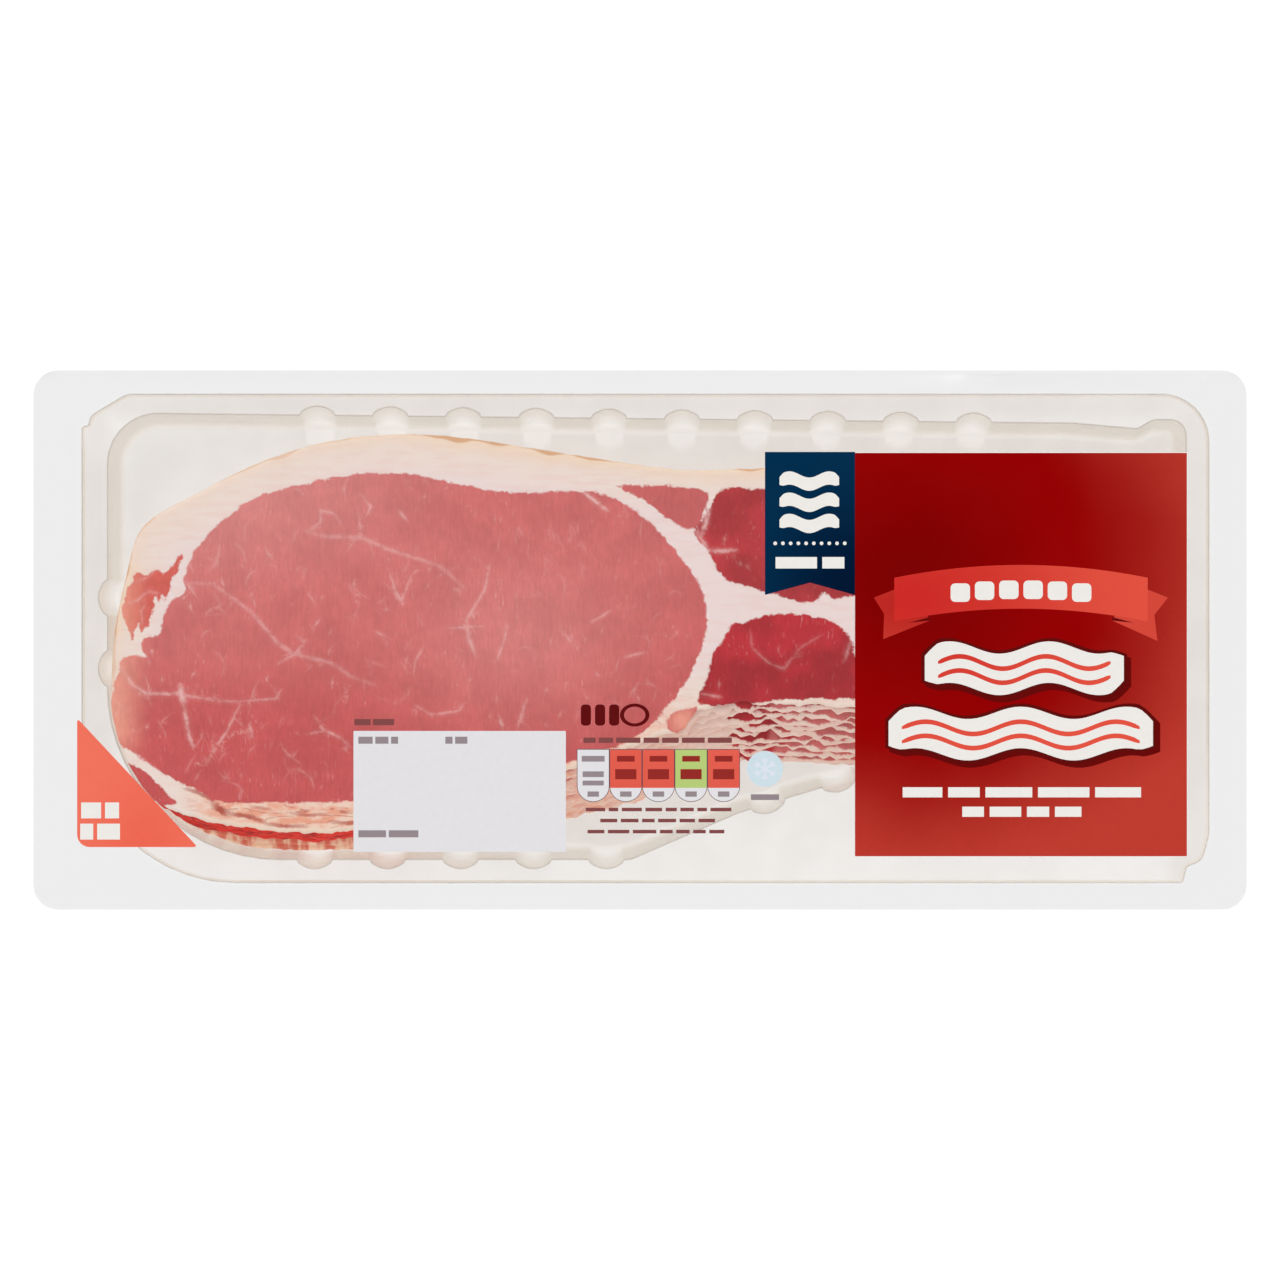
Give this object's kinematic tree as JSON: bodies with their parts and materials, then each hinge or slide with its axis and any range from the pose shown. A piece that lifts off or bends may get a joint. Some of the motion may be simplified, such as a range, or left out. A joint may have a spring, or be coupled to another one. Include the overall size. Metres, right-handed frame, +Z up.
{
  "type": "bacon pack",
  "caption": "Sealed flat pack: clear stepped tray with fluted walls, a shingled stack of back bacon rashers, clear lid film with printed panels.",
  "frame": {"origin": "centre of the pack's outline at the height of the tray's underside, which rests on the ground", "axes": "+X along the pack's length towards the label panel, +Y across the pack towards the rashers' fat edge, +Z up out of the film"},
  "size_m": [0.275, 0.1222, 0.0262],
  "materials": {
    "tray": "clear thermoformed sheet, glossy",
    "film": "clear lidding film, glossy",
    "bacon": "moist cured pork, pink lean with white fat and seams",
    "red_print": "gloss print on film",
    "navy_print": "gloss print on film",
    "white_print": "satin print on film",
    "coral_print": "gloss print on film"
  },
  "bodies": {
    "root": {"tray": "tray", "lid_film": "film", "rasher_01": "bacon", "rasher_02": "bacon", "rasher_03": "bacon", "rasher_04": "bacon", "rasher_05": "bacon", "rasher_06": "bacon", "rasher_07": "bacon", "rasher_08": "bacon", "rasher_09": "bacon", "rasher_10": "bacon", "label_panel": "red_print", "count_tab": "navy_print", "date_panel": "white_print", "peel_corner": "coral_print"}
  },
  "joints": []
}
